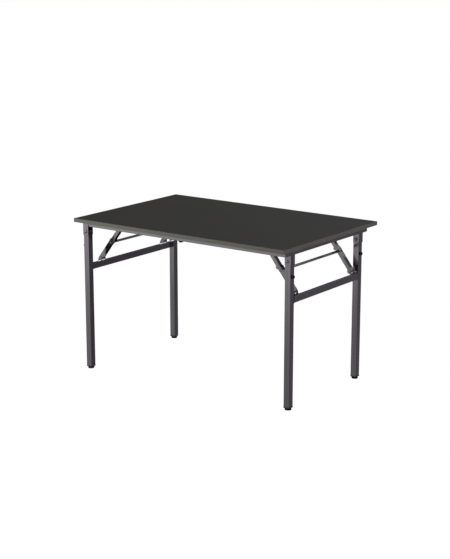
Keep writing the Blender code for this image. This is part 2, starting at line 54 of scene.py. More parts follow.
CAMERA_PLACE = Vector((3.896, -5.329, 2.074))
CAMERA_BACK = Vector((0.57315, -0.78430, 0.23752)).normalized()
LENS = 91.9


def make_camera():
    """The camera that the render is seen through."""
    data = bpy.data.cameras.new("camera")
    data.lens = LENS
    data.sensor_width = 36.0
    data.clip_end = 60.0
    camera = bpy.data.objects.new("camera", data)
    camera.location = CAMERA_PLACE
    camera.rotation_mode = "QUATERNION"
    camera.rotation_quaternion = (-CAMERA_BACK).to_track_quat("-Z", "Y")
    bpy.context.scene.collection.objects.link(camera)
    bpy.context.scene.camera = camera


# Materials: their colours, where a pair is the two that noise runs between

LAMINATE = ((0.0280, 0.0280, 0.0258), (0.0318, 0.0318, 0.0292))
LAMINATE_GRAIN = (0.040, 0.040, 0.037)
LAMINATE_SPECKS = (0.060, 0.060, 0.055)
LAMINATE_EDGES = (0.075, 0.075, 0.068)
BACKING = ((0.235, 0.225, 0.212), (0.300, 0.290, 0.276))
BAND = ((0.166, 0.169, 0.145), (0.218, 0.221, 0.191))
BAND_CLOUDS = (0.161, 0.164, 0.142)
BAND_EDGES = (0.24, 0.242, 0.21)
STEEL_SHADES = (0.96, 1.04, 1.20)
STEEL_TINT = (1.0, 0.98, 1.01)
STEEL_FLECKS = (0.33, 0.325, 0.33)
STEEL_WORN = (0.40, 0.395, 0.40)
# Painted shade: the near-black that the steel darkens to in its corners and crevices
STEEL_CREVICE_SHADE = (0.020, 0.019, 0.020)
ZINC = ((0.195, 0.191, 0.196), (0.245, 0.241, 0.247))
ZINC_EDGES = (0.34, 0.335, 0.34)
# Painted shade: the near-black that the fasteners darken to in their corners
ZINC_CREVICE_SHADE = (0.012, 0.011, 0.012)
PLASTIC = ((0.034, 0.033, 0.035), (0.046, 0.045, 0.047))
PLASTIC_EDGES = (0.11, 0.11, 0.112)
RUBBER = (0.0085, 0.0085, 0.0090)
RUBBER_DUST = (0.034, 0.033, 0.032)
RUBBER_EDGES = (0.055, 0.054, 0.054)


class Nodes:
    """A short way to write a material's node tree."""

    def __init__(self, name):
        self.material = bpy.data.materials.new(name)
        self.material.use_nodes = True
        self.tree = self.material.node_tree
        self.shader = self.tree.nodes["Principled BSDF"]
        coordinates = self.tree.nodes.new("ShaderNodeTexCoord")
        self.place = coordinates.outputs["Object"]

    def link(self, source, target):
        """Feed an input from another node's output, or give it a fixed value."""
        if isinstance(source, (int, float, tuple)):
            target.default_value = source
        else:
            self.tree.links.new(source, target)

    def node(self, kind, **settings):
        made = self.tree.nodes.new("ShaderNode" + kind)
        for key, value in settings.items():
            setattr(made, key, value)
        return made

    def math(self, operation, first, second=0.0):
        made = self.node("Math", operation=operation)
        self.link(first, made.inputs[0])
        self.link(second, made.inputs[1])
        return made.outputs[0]

    def stretched(self, scale):
        """The place on the object, scaled by its own amount along each axis."""
        made = self.node("Mapping")
        self.link(self.place, made.inputs["Vector"])
        made.inputs["Scale"].default_value = scale
        return made.outputs[0]

    def noise(self, scale, detail=3.0, roughness=0.5, place=None, distortion=0.0):
        made = self.node("TexNoise")
        self.link(place or self.place, made.inputs["Vector"])
        made.inputs["Scale"].default_value = scale
        made.inputs["Detail"].default_value = detail
        made.inputs["Roughness"].default_value = roughness
        made.inputs["Distortion"].default_value = distortion
        return made.outputs["Fac"]

    def cells(self, scale):
        made = self.node("TexVoronoi", feature="F1")
        self.link(self.place, made.inputs["Vector"])
        made.inputs["Scale"].default_value = scale
        return made.outputs["Distance"]

    def spread(self, value, low, high, out_low=0.0, out_high=1.0):
        """A smooth step from one range of values to another."""
        made = self.node("MapRange", interpolation_type="SMOOTHSTEP")
        self.link(value, made.inputs["Value"])
        made.inputs["From Min"].default_value = low
        made.inputs["From Max"].default_value = high
        made.inputs["To Min"].default_value = out_low
        made.inputs["To Max"].default_value = out_high
        return made.outputs["Result"]

    def mix(self, factor, first, second):
        made = self.node("Mix", data_type="RGBA")
        self.link(factor, made.inputs["Factor"])
        self.link(first if not isinstance(first, tuple) else (*first, 1.0), made.inputs["A"])
        self.link(second if not isinstance(second, tuple) else (*second, 1.0), made.inputs["B"])
        return made.outputs["Result"]

    def facing_up(self):
        """How far the surface faces up, from -1 to 1."""
        parts = self.node("SeparateXYZ")
        self.link(self.node("NewGeometry").outputs["Normal"], parts.inputs[0])
        return parts.outputs["Z"]

    def edges(self, radius):
        """How far the surface is rounding over: 0 on a flat, near 1 on a sharp edge."""
        rounded = self.node("Bevel", samples=6)
        rounded.inputs["Radius"].default_value = radius
        flat = self.node("NewGeometry")
        product = self.node("VectorMath", operation="DOT_PRODUCT")
        self.link(rounded.outputs["Normal"], product.inputs[0])
        self.link(flat.outputs["Normal"], product.inputs[1])
        return self.spread(product.outputs["Value"], 0.70, 0.995, 1.0, 0.0)

    def crevices(self, distance):
        """1 in a corner, 0 in the open, from ambient occlusion: where painted shade goes."""
        made = self.node("AmbientOcclusion", samples=8)
        made.inputs["Distance"].default_value = distance
        return self.spread(made.outputs["AO"], 0.25, 0.95, 1.0, 0.0)

    def bump(self, height, strength, distance, under=None):
        made = self.node("Bump")
        self.link(height, made.inputs["Height"])
        made.inputs["Strength"].default_value = strength
        made.inputs["Distance"].default_value = distance
        if under is not None:
            self.link(under, made.inputs["Normal"])
        return made.outputs["Normal"]

    def finish(self, color, roughness, normal, metallic=0.0, specular=0.5):
        self.link(color, self.shader.inputs["Base Color"])
        self.link(roughness, self.shader.inputs["Roughness"])
        self.link(normal, self.shader.inputs["Normal"])
        self.link(metallic, self.shader.inputs["Metallic"])
        self.shader.inputs["Specular IOR Level"].default_value = specular
        return self.material


def top_laminate():
    """Dark melamine laminate with a fine pressed grain and faint rub marks."""
    n = Nodes("top_laminate")
    cloudy = n.noise(5.0, 4.0, 0.6)
    grain = n.noise(260.0, 4.0, 0.65, place=n.stretched((0.35, 1.0, 1.0)))
    specks = n.spread(n.cells(520.0), 0.05, 0.28, 1.0, 0.0)
    rubbed = n.noise(34.0, 6.0, 0.75, place=n.stretched((0.2, 1.6, 1.0)), distortion=0.6)
    rubs = n.spread(rubbed, 0.60, 0.74)
    color = n.mix(n.spread(cloudy, 0.3, 0.7), *LAMINATE)
    color = n.mix(n.spread(grain, 0.35, 0.7, 0.0, 0.5), color, LAMINATE_GRAIN)
    color = n.mix(n.math("MULTIPLY", specks, 0.18), color, LAMINATE_SPECKS)
    color = n.mix(n.math("MULTIPLY", n.edges(0.0008), 0.35), color, LAMINATE_EDGES)
    below = n.math("LESS_THAN", n.facing_up(), -0.5)
    fibres = n.noise(1.0, 5.0, 0.7, place=n.stretched((60.0, 420.0, 60.0)))
    backing = n.mix(n.spread(fibres, 0.3, 0.7), *BACKING)
    color = n.mix(below, color, backing)
    rough = n.math("ADD", n.spread(grain, 0.3, 0.75, 0.40, 0.50), n.math("MULTIPLY", rubs, -0.05))
    normal = n.bump(n.noise(900.0, 3.0, 0.6), 0.22, 0.00025)
    normal = n.bump(grain, 0.16, 0.0004, normal)
    return n.finish(color, rough, normal, specular=0.15)


def edge_band():
    """A grey-green plastic band, brushed along its length."""
    n = Nodes("edge_band")
    streaks = n.noise(1.0, 5.0, 0.7, place=n.stretched((14.0, 14.0, 1500.0)))
    fine = n.noise(1.0, 3.0, 0.6, place=n.stretched((90.0, 90.0, 3200.0)))
    cloudy = n.noise(9.0, 3.0)
    color = n.mix(n.spread(streaks, 0.3, 0.7), *BAND)
    color = n.mix(n.spread(cloudy, 0.3, 0.7, 0.0, 0.35), color, BAND_CLOUDS)
    color = n.mix(n.math("MULTIPLY", n.edges(0.0006), 0.15), color, BAND_EDGES)
    rough = n.spread(fine, 0.3, 0.7, 0.34, 0.48)
    normal = n.bump(streaks, 0.18, 0.0002)
    normal = n.bump(fine, 0.12, 0.0001, normal)
    return n.finish(color, rough, normal, specular=0.15)


def coated_steel(name="coated_steel", base=0.246):
    """Grey metallic coat: drawn streaks, orange peel, fine flecks, worn thin on the edges, and painted
    shade in its crevices.
    """
    n = Nodes(name)
    shades = [tuple(base * shade * tint for tint in STEEL_TINT) for shade in STEEL_SHADES]
    cloudy = n.noise(7.0, 3.0, 0.55)
    drawn = n.noise(1.0, 4.0, 0.6, place=n.stretched((210.0, 210.0, 1.6)))
    peel = n.noise(620.0, 2.0, 0.5)
    flecks = n.spread(n.cells(1500.0), 0.02, 0.16, 1.0, 0.0)
    chips = n.noise(140.0, 6.0, 0.7)
    worn = n.math("MULTIPLY", n.edges(0.0006), n.spread(chips, 0.46, 0.62))
    # Painted shade: darker where ambient occlusion finds a corner, broken up by noise
    crevice_shade = n.math("MULTIPLY", n.crevices(0.010), n.spread(n.noise(60.0, 4.0, 0.6), 0.2, 0.7, 0.55, 1.0))
    color = n.mix(n.spread(cloudy, 0.3, 0.7), shades[0], shades[1])
    color = n.mix(n.spread(drawn, 0.38, 0.68, 0.0, 0.8), color, shades[2])
    color = n.mix(n.math("MULTIPLY", flecks, 0.25), color, STEEL_FLECKS)
    color = n.mix(n.math("MULTIPLY", worn, 0.35), color, STEEL_WORN)
    color = n.mix(n.math("MULTIPLY", crevice_shade, 0.55), color, STEEL_CREVICE_SHADE)
    rough = n.spread(peel, 0.3, 0.7, 0.10, 0.145)
    rough = n.math("ADD", rough, n.math("MULTIPLY", worn, 0.10))
    normal = n.bump(peel, 0.09, 0.0002)
    normal = n.bump(n.noise(2600.0, 2.0), 0.05, 0.0001, normal)
    return n.finish(color, rough, normal, 0.92)


def zinc_fastener():
    """Dark plated steel with turning marks and handling scratches, and painted shade in its crevices."""
    n = Nodes("zinc_fastener")
    scratches = n.noise(1.0, 5.0, 0.75, place=n.stretched((900.0, 260.0, 900.0)))
    blotches = n.noise(220.0, 4.0, 0.6)
    color = n.mix(n.spread(blotches, 0.3, 0.7), *ZINC)
    color = n.mix(n.math("MULTIPLY", n.edges(0.0005), 0.4), color, ZINC_EDGES)
    # Painted shade: darker where ambient occlusion finds a corner
    color = n.mix(n.math("MULTIPLY", n.crevices(0.003), 0.7), color, ZINC_CREVICE_SHADE)
    rough = n.spread(scratches, 0.3, 0.7, 0.30, 0.46)
    normal = n.bump(scratches, 0.15, 0.0001)
    return n.finish(color, rough, normal, 0.80)


def cap_plastic():
    """Moulded dark plastic with a fine spark-eroded texture."""
    n = Nodes("cap_plastic")
    grain = n.noise(1700.0, 3.0, 0.6)
    cloudy = n.noise(60.0, 3.0)
    color = n.mix(n.spread(cloudy, 0.3, 0.7), *PLASTIC)
    color = n.mix(n.math("MULTIPLY", n.edges(0.0008), 0.45), color, PLASTIC_EDGES)
    rough = n.spread(grain, 0.3, 0.7, 0.38, 0.52)
    normal = n.bump(grain, 0.25, 0.0002)
    return n.finish(color, rough, normal)


def black_rubber():
    """Black rubber, slightly dusty, with a fine pitted skin."""
    n = Nodes("black_rubber")
    pits = n.noise(1300.0, 4.0, 0.65)
    dust = n.spread(n.noise(90.0, 5.0, 0.7), 0.48, 0.72)
    color = n.mix(n.math("MULTIPLY", dust, 0.35), RUBBER, RUBBER_DUST)
    color = n.mix(n.math("MULTIPLY", n.edges(0.0010), 0.30), color, RUBBER_EDGES)
    rough = n.spread(pits, 0.3, 0.7, 0.55, 0.72)
    normal = n.bump(pits, 0.30, 0.0002)
    return n.finish(color, rough, normal, specular=0.35)


MATERIALS = {make.__name__: make() for make in (
    top_laminate, edge_band, coated_steel, zinc_fastener, cap_plastic, black_rubber
)}
# A lighter copy of the coated steel for the release rods: painted light, so the thin rods look as bright
# as the light they catch
ROD_STEEL_PAINTED_LIGHTER = coated_steel("rod_steel_painted_lighter", 0.44)


# Pieces

# A lower link's lean in degrees, and where its web runs on, measured from the elbow
LINK_LEAN = 37.5
WEB_SPAN = (-0.0475, -0.0290)
WEB_OFFSETS = (0.0083, 0.0099)
WEB_INSET = 0.0002

# Edges that turn by more than this, in degrees, are rounded over
SHARP_ANGLE = 50.0
WELD_SMOOTH_ANGLE = 80.0


def add_piece(name, mesh, slot, body, smooth_angle=40.0):
    """A finished mesh in the row frame that rides on a body."""
    mesh.shade_smooth()
    mesh.set_sharp_from_angle(angle=math.radians(smooth_angle))
    mesh.materials.clear()
    mesh.materials.append(MATERIALS[slot])
    piece = bpy.data.objects.new(name, mesh)
    bpy.context.scene.collection.objects.link(piece)
    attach(piece, body)
    return piece


def continue_web(bm, side):
    """Carry a lower link's web on over the lower part of its fork."""
    low, high = box_of(f"{side}_release_rod")
    elbow = Vector(((low.x + high.x) / 2, (low.z + high.z) / 2))
    lean = math.radians(LINK_LEAN)
    up = Vector((-SIDES[side] * math.sin(lean), math.cos(lean)))
    out = Vector((SIDES[side] * math.cos(lean), math.sin(lean)))
    ys = [vertex.co.y for vertex in bm.verts]
    widths = (min(ys) + WEB_INSET, max(ys) - WEB_INSET)
    start, stop = WEB_SPAN
    inner, outer = WEB_OFFSETS
    corners = []
    for along, offset in ((start, inner), (stop, inner), (stop, outer), (start, outer)):
        spot = elbow + up * along + out * offset
        corners.append([bm.verts.new((spot.x, y, spot.y)) for y in widths])
    for index, pair in enumerate(corners):
        beyond = corners[(index + 1) % 4]
        bm.faces.new((pair[0], pair[1], beyond[1], beyond[0]))
    bm.faces.new([pair[0] for pair in corners])
    bm.faces.new([pair[1] for pair in corners][::-1])


def soften(node, width):
    """Stand a copy of a CAD piece in its place, with its edges rounded over."""
    mesh = NODES[node].data.copy()
    bm = bmesh.new()
    bm.from_mesh(mesh)
    if node.endswith("lower_link"):
        continue_web(bm, node.split("_")[0])
    bmesh.ops.remove_doubles(bm, verts=bm.verts, dist=2e-5)
    bmesh.ops.dissolve_limit(bm, angle_limit=math.radians(0.5), verts=bm.verts, edges=bm.edges)
    bmesh.ops.recalc_face_normals(bm, faces=bm.faces)
    bm.to_mesh(mesh)
    bm.free()
    piece = add_piece(f"{node}_finish", mesh, SLOT_OF[node], BODY_OF[node], SHARP_ANGLE)
    bevel = piece.modifiers.new("edges", "BEVEL")
    bevel.limit_method = "ANGLE"
    bevel.angle_limit = math.radians(SHARP_ANGLE)
    bevel.width = width
    bevel.segments = 2
    bevel.use_clamp_overlap = True
    weights = piece.modifiers.new("flats", "WEIGHTED_NORMAL")
    weights.keep_sharp = True
    weights.weight = 100
    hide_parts(node)
    return piece


def round_shape(radius, angle):
    """A circle."""
    return radius


def hexagon(radius, angle):
    """A hexagon whose flats are this far from its centre."""
    turn = math.tau / 6
    return radius / math.cos((angle % turn) - turn / 2)


def cross(radius, angle):
    """A four-armed recess."""
    return radius * (0.42 + 0.58 * abs(math.cos(2 * angle)) ** 3)


def revolve(profile, centre, axis, steps=48, wrap=False):
    """A turned mesh from (radius, distance) or (radius, distance, shape) rings along an axis."""
    bm = bmesh.new()
    rings = []
    for radius, distance, *shape in profile:
        outline = shape[0] if shape else round_shape
        ring = []
        for step in range(steps):
            angle = math.tau * step / steps
            reach = outline(radius, angle)
            point = [reach * math.cos(angle), reach * math.sin(angle)]
            point.insert("XYZ".index(axis), distance)
            ring.append(bm.verts.new(Vector(centre) + Vector(point)))
        rings.append(ring)
    pairs = list(zip(rings, rings[1:]))
    if wrap:
        pairs.append((rings[-1], rings[0]))
    for lower, upper in pairs:
        for index in range(steps):
            following = (index + 1) % steps
            bm.faces.new((lower[index], lower[following], upper[following], upper[index]))
    if not wrap:
        bm.faces.new(rings[0])
        bm.faces.new(rings[-1])
    return bm


def to_mesh(bm, name):
    """Close a bmesh into a mesh whose faces point outward."""
    bmesh.ops.recalc_face_normals(bm, faces=bm.faces)
    mesh = bpy.data.meshes.new(name)
    bm.to_mesh(mesh)
    bm.free()
    return mesh


def rounded(radius, distance, size, steps=6):
    """Rings that turn from a wall at this radius onto a flat face at this distance."""
    rings = []
    for step in range(steps + 1):
        angle = math.pi / 2 * step / steps
        rings.append((radius - size * (1 - math.cos(angle)), distance - size * (1 - math.sin(angle))))
    return rings


def domed(radius, face, height, first, last, steps):
    """Rings over a low dome that stands on a face, between two angles in degrees from its rim."""
    rings = []
    for step in range(steps + 1):
        angle = math.radians(first + (last - first) * step / steps)
        rise = height * math.sin(angle) / math.sin(math.radians(last))
        rings.append((radius * math.cos(angle), face + rise))
    return rings


def along(profile, sign):
    """The same rings, measured the other way along their axis when the sign is negative."""
    return [(radius, sign * distance, *shape) for radius, distance, *shape in profile]


def box_of(node):
    """The low and high corners of a CAD piece."""
    piece = NODES[node]
    corners = [piece.matrix_world @ vertex.co for vertex in piece.data.vertices]
    low = Vector([min(corner[axis] for corner in corners) for axis in range(3)])
    high = Vector([max(corner[axis] for corner in corners) for axis in range(3)])
    return low, high


def add_turned(name, profile, centre, axis, slot, body, node=None, **settings):
    """A turned piece, standing for a CAD node if one is named."""
    piece = add_piece(name, to_mesh(revolve(profile, centre, axis, **settings), name), slot, body)
    if node:
        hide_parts(node)
    return piece


# Small hardware, each placed from the CAD piece it belongs to

BOLT_TIP_RADIUS = 0.0024
BOLT_TIP_CHAMFER = 0.0006
THREAD_ROOT_RADIUS = 0.0033
THREAD_CREST_RADIUS = 0.0039
THREAD_PITCH = 0.00115
THREAD_TURNS = 6
THREAD_LENGTH = 0.0075
SHANK_RADIUS = 0.0040
HEAD_RADIUS = 0.0071
HEAD_HEIGHT = 0.0035
RECESS_HALF_WIDTH = 0.0017
RECESS_DEPTH = 0.0018

# The face of a leg's inner bracket plate, measured from the tip of its pivot bolt
PLATE_FROM_TIP = 0.0080
WASHER_HOLE_RADIUS = 0.0043
WASHER_RADIUS = 0.0080
WASHER_THICKNESS = 0.0010
NUT_HOLE_RADIUS = 0.0042
NUT_HALF_WIDTH = 0.0062
NUT_HEIGHT = 0.0054
FACE_GAP = 0.0002


def bolt_rings(tip, top):
    """A threaded shank under a button head with a hexagon recess."""
    head_face = top - HEAD_HEIGHT
    rings = [(BOLT_TIP_RADIUS, tip), (THREAD_ROOT_RADIUS - 0.0001, tip + BOLT_TIP_CHAMFER)]
    for turn in range(THREAD_TURNS):
        start = tip + BOLT_TIP_CHAMFER + THREAD_PITCH * turn
        rings += [(THREAD_CREST_RADIUS, start + 0.0004), (THREAD_CREST_RADIUS, start + 0.0006)]
        rings += [(THREAD_ROOT_RADIUS, start + 0.00105)]
    rings += [(SHANK_RADIUS, tip + THREAD_LENGTH), (SHANK_RADIUS, head_face)]
    rings += [(HEAD_RADIUS - 0.0001, head_face)] + domed(HEAD_RADIUS, head_face, HEAD_HEIGHT, 12, 74, 6)
    rings += [(RECESS_HALF_WIDTH + 0.0002, top), (RECESS_HALF_WIDTH, top - 0.0002, hexagon)]
    rings += [(RECESS_HALF_WIDTH, top - RECESS_DEPTH, hexagon), (0.0006, top - RECESS_DEPTH - 0.0004)]
    return rings


def washer_rings(seat):
    """A flat washer with its outer edges eased."""
    ease = 0.0003
    end = seat + WASHER_THICKNESS
    rings = [(WASHER_HOLE_RADIUS, seat), (WASHER_RADIUS - 0.0004, seat), (WASHER_RADIUS, seat + ease)]
    rings += [(WASHER_RADIUS, end - ease), (WASHER_RADIUS - 0.0004, end), (WASHER_HOLE_RADIUS, end)]
    return rings


def nut_rings(face):
    """A hexagon nut whose far edges are chamfered, seated at a face."""
    end = face - NUT_HEIGHT
    rings = [(NUT_HOLE_RADIUS, end), (NUT_HALF_WIDTH - 0.0004, end)]
    rings += [(NUT_HALF_WIDTH, end + 0.0007, hexagon), (NUT_HALF_WIDTH, face - 0.0003, hexagon)]
    return rings + [(NUT_HALF_WIDTH - 0.0002, face), (NUT_HOLE_RADIUS, face)]


def detail_pivot_bolt(side, end):
    """A pivot bolt, with a washer and a nut on its tail."""
    node = f"{side}_{end}_pivot_bolt"
    low, high = box_of(node)
    sign = ENDS[end]
    tip, top = (low.y, high.y) if sign > 0 else (-high.y, -low.y)
    centre = ((low.x + high.x) / 2, 0.0, (low.z + high.z) / 2)
    seat = tip + PLATE_FROM_TIP - WASHER_THICKNESS - FACE_GAP
    washer = along(washer_rings(seat), sign)
    nut = along(nut_rings(seat - FACE_GAP), sign)
    place = (centre, "Y", "zinc_fastener", BODY_OF[node])
    add_turned(f"{node}_finish", along(bolt_rings(tip, top), sign), *place, node)
    add_turned(f"{side}_{end}_pivot_washer", washer, *place, wrap=True)
    add_turned(f"{side}_{end}_pivot_nut", nut, *place, wrap=True)


RIVET_HEAD_RADIUS = 0.0055
RIVET_HEAD_HEIGHT = 0.0022
RIVET_SHANK_RADIUS = 0.0030


def rivet_head(face, height):
    """Rings from a plate outward over a low dome with a set dimple."""
    rings = [(RIVET_HEAD_RADIUS, face)] + domed(RIVET_HEAD_RADIUS, face, height, 8, 66, 5)
    for width, rise in ((0.30, 0.94), (0.20, 0.62), (0.05, 0.58)):
        rings.append((RIVET_HEAD_RADIUS * width, face + height * rise))
    return rings


def detail_rivet(node):
    """A rivet with two domed, dimpled heads in place of a plain one."""
    low, high = box_of(node)
    centre = (low + high) / 2
    face = (high.y - low.y) / 2 - RIVET_HEAD_HEIGHT
    half = rivet_head(face, RIVET_HEAD_HEIGHT)[::-1] + [(RIVET_SHANK_RADIUS, face)]
    profile = half + [(radius, -distance) for radius, distance in half[::-1]]
    add_turned(f"{node}_finish", profile, centre, "Y", "zinc_fastener", BODY_OF[node], node)


def detail_elbow(side, end):
    """The rivet head at the elbow, on the outer flange of the lower link."""
    node = f"{side}_{end}_lower_link"
    rod_low, rod_high = box_of(f"{side}_release_rod")
    low, high = box_of(node)
    sign = ENDS[end]
    plate = high.y if sign > 0 else -low.y
    face = plate + 0.0001
    centre = ((rod_low.x + rod_high.x) / 2, 0.0, (rod_low.z + rod_high.z) / 2)
    stub = RIVET_SHANK_RADIUS - 0.0001
    profile = [(stub, plate - 0.0014), (stub, face)] + rivet_head(face, 0.0020)
    name = f"{side}_{end}_elbow_rivet"
    add_turned(name, along(profile, sign), centre, "Y", "zinc_fastener", BODY_OF[node])


BUMPER_CORNER = 0.0030
BUMPER_WELL_RADIUS = 0.0034
BUMPER_WELL_DEPTH = 0.0030


def detail_bumper(side, end):
    """A moulded rubber button with a rounded rim and a screw sunk in its middle."""
    node = f"{side}_{end}_stack_bumper"
    low, high = box_of(node)
    sign = SIDES[side]
    centre = (0.0, (low.y + high.y) / 2, (low.z + high.z) / 2)
    foot, tip = (low.x, high.x) if sign > 0 else (-high.x, -low.x)
    rim = (high.z - low.z) / 2
    wall = rim - 0.0003
    well = tip - BUMPER_WELL_DEPTH
    profile = [(rim - 0.0004, foot), (rim, foot + 0.0005), (rim, foot + 0.0014)]
    profile += [(wall, foot + 0.0018), (wall, tip - BUMPER_CORNER - 0.0004)]
    profile += rounded(wall, tip, BUMPER_CORNER)[1:]
    profile += [(BUMPER_WELL_RADIUS + 0.0004, tip), (BUMPER_WELL_RADIUS, tip - 0.0004)]
    profile += [(BUMPER_WELL_RADIUS, well), (0.0010, well)]
    add_turned(f"{node}_finish", along(profile, sign), centre, "X", "black_rubber", BODY_OF[node], node)
    screw = [(0.0012, well - 0.0028), (0.0030, well + 0.0001)]
    screw += [(0.0030, well + 0.0008), (0.0026, well + 0.0013)]
    screw += [(0.0018, well + 0.0015, cross), (0.0010, well + 0.0006, cross)]
    name = f"{side}_{end}_bumper_screw"
    add_turned(name, along(screw, sign), centre, "X", "zinc_fastener", BODY_OF[node])


PAD_FLANGE_RADIUS = 0.0125
PAD_FLANGE_THICKNESS = 0.0020
PAD_DOME_RADIUS = 0.0114


def detail_rest_pad(end):
    """A domed rubber pad with a thin flange."""
    node = f"{end}_leg_rest_pad"
    low, high = box_of(node)
    centre = ((low.x + high.x) / 2, (low.y + high.y) / 2, 0.0)
    rim = high.z - PAD_FLANGE_THICKNESS
    profile = [(PAD_FLANGE_RADIUS, high.z), (PAD_FLANGE_RADIUS, rim + 0.0006)]
    profile += [(PAD_FLANGE_RADIUS - 0.0004, rim + 0.0002), (PAD_DOME_RADIUS, rim)]
    for step in range(1, 8):
        angle = math.radians(88 * step / 7)
        profile.append((PAD_DOME_RADIUS * math.cos(angle) ** 0.8, rim - (rim - low.z) * math.sin(angle)))
    add_turned(f"{node}_finish", profile, centre, "Z", "black_rubber", BODY_OF[node], node)


FOOT_RIBS = 32
FOOT_RIB_DEPTH = 0.00035
FOOT_DISC_HEIGHT = 0.0062
FOOT_COLLAR_TOP = 0.0092
FOOT_COLLAR_HALF_WIDTH = 0.0077
FOOT_STEM_RADIUS = 0.0040


def ribbed(radius, angle):
    """A circle whose edge runs in and out in small ribs."""
    return radius - FOOT_RIB_DEPTH * (0.5 + 0.5 * math.cos(FOOT_RIBS * angle))


def detail_foot(side, end):
    """A levelling foot: a rounded disc with a ribbed rim, a hexagon collar and its stem."""
    node = f"{side}_{end}_levelling_foot"
    low, high = box_of(node)
    centre = ((low.x + high.x) / 2, (low.y + high.y) / 2, 0.0)
    rim = (high.x - low.x) / 2
    disc_top = low.z + FOOT_DISC_HEIGHT
    collar_top = low.z + FOOT_COLLAR_TOP
    profile = [(rim - 0.0028, low.z), (rim - 0.0018, low.z), (rim - 0.0008, low.z + 0.0005)]
    profile += [(rim - 0.0002, low.z + 0.0014)]
    profile += [(rim, low.z + 0.0020, ribbed), (rim, disc_top - 0.0016, ribbed)]
    profile += [(rim - 0.0004, disc_top - 0.0008), (rim - 0.0014, disc_top - 0.0001), (0.0090, disc_top)]
    profile += [(FOOT_COLLAR_HALF_WIDTH, disc_top + 0.0002, hexagon)]
    profile += [(FOOT_COLLAR_HALF_WIDTH, collar_top - 0.0002, hexagon)]
    profile += [(FOOT_COLLAR_HALF_WIDTH - 0.0007, collar_top), (FOOT_STEM_RADIUS, collar_top)]
    profile += [(FOOT_STEM_RADIUS, high.z - 0.0008), (FOOT_STEM_RADIUS - 0.0008, high.z)]
    add_turned(f"{node}_finish", profile, centre, "Z", "black_rubber", BODY_OF[node], node, steps=192)


ROD_TENON_RADIUS = 0.0040
ROD_TENON_LENGTH = 0.0015


def detail_rod(side):
    """A release rod with chamfered shoulders."""
    node = f"{side}_release_rod"
    low, high = box_of(node)
    centre = ((low.x + high.x) / 2, 0.0, (low.z + high.z) / 2)
    tip = high.y
    shoulder = tip - ROD_TENON_LENGTH
    radius = (high.x - low.x) / 2
    half = [(ROD_TENON_RADIUS - 0.0004, tip), (ROD_TENON_RADIUS, tip - 0.0004)]
    half += [(ROD_TENON_RADIUS, shoulder), (radius - 0.0005, shoulder), (radius, shoulder - 0.0006)]
    profile = half + [(width, -distance) for width, distance in half[::-1]]
    rod = add_turned(f"{node}_finish", profile, centre, "Y", "coated_steel", BODY_OF[node], node)
    # The rod wears the lighter copy of the coat, which is painted light
    rod.data.materials[0] = ROD_STEEL_PAINTED_LIGHTER


WELD_SIZE = 0.0021
WELD_RIPPLE_LENGTH = 0.0022
WELD_INSET = 0.0004
WELD_STEPS = 40


def detail_welds(side, end):
    """The weld bead round the end of a crossbar, where it meets its leg."""
    node = f"{side}_crossbar"
    low, high = box_of(node)
    leg_low, leg_high = box_of(f"{side}_{end}_leg")
    sign = ENDS[end]
    wall = leg_low.y if sign > 0 else -leg_high.y
    root_face = wall + WELD_INSET
    corners = [(low.x, low.z), (high.x, low.z), (high.x, high.z), (low.x, high.z)]
    rings = []
    for index, corner in enumerate(corners):
        following = corners[(index + 1) % 4]
        start = Vector(corner)
        span = Vector(following) - start
        outward = Vector((span.y, -span.x)).normalized()
        count = round(WELD_STEPS * span.length / (high.z - low.z))
        for step in range(count):
            share = step / count
            ripple = 1.0 + 0.16 * math.sin(share * span.length / WELD_RIPPLE_LENGTH * math.tau)
            ripple += 0.10 * math.sin(share * 7 + index)
            turn = outward
            if step == 0:
                before = start - Vector(corners[index - 1])
                turn = (outward + Vector((before.y, -before.x)).normalized()).normalized()
            size = WELD_SIZE * ripple
            base = start + span * share
            ring = []
            for lobe in range(6):
                angle = math.radians(-12 + 114 * lobe / 5)
                out = base + turn * (size * math.cos(angle) - WELD_INSET)
                ring.append((out.x, sign * (root_face - size * math.sin(angle)), out.y))
            root = base - turn * 2 * WELD_INSET
            ring.append((root.x, sign * root_face, root.y))
            rings.append(ring)
    bm = bmesh.new()
    loops = [[bm.verts.new(point) for point in ring] for ring in rings]
    for index, loop in enumerate(loops):
        beyond = loops[(index + 1) % len(loops)]
        for lobe in range(len(loop)):
            following = (lobe + 1) % len(loop)
            bm.faces.new((loop[lobe], loop[following], beyond[following], beyond[lobe]))
    name = f"{side}_{end}_crossbar_weld"
    add_piece(name, to_mesh(bm, name), "coated_steel", BODY_OF[node], WELD_SMOOTH_ANGLE)


SCREW_HEAD_RADIUS = 0.0042
SCREW_HEAD_HEIGHT = 0.0024
RAIL_SCREWS = (0.16, 0.39, 0.61, 0.84)
END_RAIL_SCREWS = (0.25, 0.75)
ANCHOR_SCREWS = (0.14, 0.86)


def add_screw(name, x, y, face, body):
    """A pan-head screw driven upward, with its head under a face."""
    rim = SCREW_HEAD_RADIUS
    crown = face - SCREW_HEAD_HEIGHT
    profile = [(0.0016, face), (rim - 0.0002, face), (rim, face - 0.0005), (rim - 0.0002, face - 0.0014)]
    profile += [(rim - 0.0009, crown + 0.0003), (rim - 0.0018, crown)]
    profile += [(0.0019, crown + 0.0001, cross), (0.0010, crown + 0.0013, cross)]
    add_turned(name, profile, (x, y, 0.0), "Z", "zinc_fastener", body)


